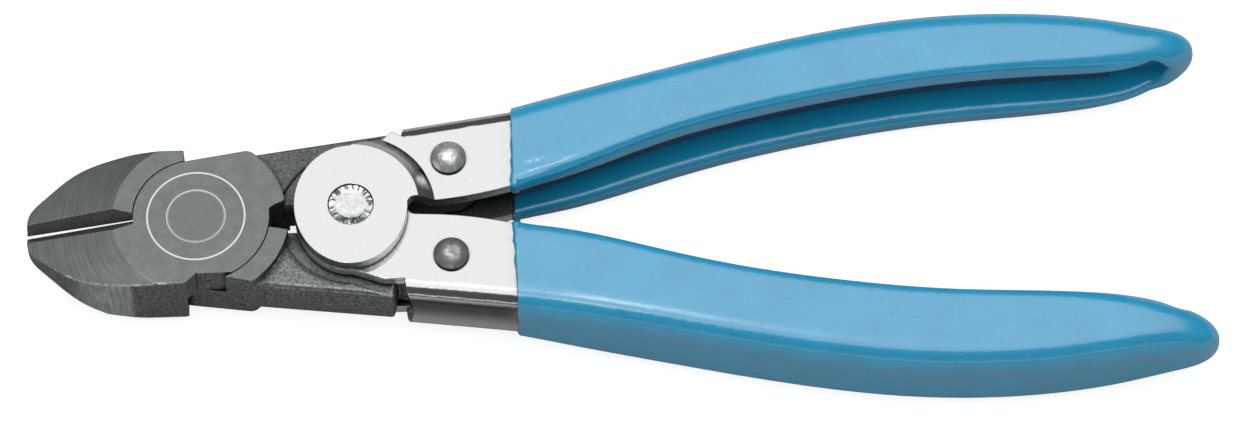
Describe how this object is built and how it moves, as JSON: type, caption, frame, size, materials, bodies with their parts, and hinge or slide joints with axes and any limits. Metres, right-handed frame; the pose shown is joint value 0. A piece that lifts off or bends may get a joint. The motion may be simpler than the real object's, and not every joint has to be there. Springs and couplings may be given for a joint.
{
  "type": "side cutter",
  "caption": "Lever-assisted diagonal side cutter: lap-jointed steel jaws, each linked by a rivet to a folded sheet-steel handle with an open-backed dipped grip.",
  "frame": {"origin": "middle of the tool's length and width, on the plane it lies on with its back face down", "axes": "+X from the blades to the grip ends, +Y to the upper grip's side in the picture, +Z out of the front face"},
  "size_m": [0.165, 0.0562, 0.0142],
  "materials": {
    "forged_steel": "dark grey, ground faces",
    "chromed_sheet": "bright plated",
    "rivet_steel": "hammered bright",
    "blue_dip": "dip-coated, semi-gloss"
  },
  "bodies": {
    "upper_jaw": {"jaw_upper": "forged_steel", "joint_rivet": "forged_steel"},
    "lower_jaw": {"jaw_lower": "forged_steel"},
    "upper_handle": {"handle_upper": "chromed_sheet", "grip_upper": "blue_dip", "link_rivet_upper": "rivet_steel", "pivot_rivet": "rivet_steel", "pivot_bush": "rivet_steel"},
    "lower_handle": {"handle_lower": "chromed_sheet", "grip_lower": "blue_dip", "link_rivet_lower": "rivet_steel"}
  },
  "joints": [
    {"name": "jaw_pivot", "type": "hinge", "parent": "upper_jaw", "child": "lower_jaw", "pos_m": [-0.0587, 0, 0.0071], "axis": [0, 0, 1], "range_deg": [-0.9, 11.5]},
    {"name": "upper_link", "type": "hinge", "parent": "lower_jaw", "child": "upper_handle", "pos_m": [-0.02335, 0.00755, 0.0071], "axis": [0, 0, 1], "range_deg": [-0.9, 10.3]},
    {"name": "lower_link", "type": "hinge", "parent": "upper_jaw", "child": "lower_handle", "pos_m": [-0.02335, -0.00755, 0.0071], "axis": [0, 0, 1], "range_deg": [-10.3, 0.9]}
  ],
  "couplings": [
    {"joint": "upper_link", "follows": "jaw_pivot", "ratio": 0.885},
    {"joint": "lower_link", "follows": "jaw_pivot", "ratio": -0.885}
  ]
}
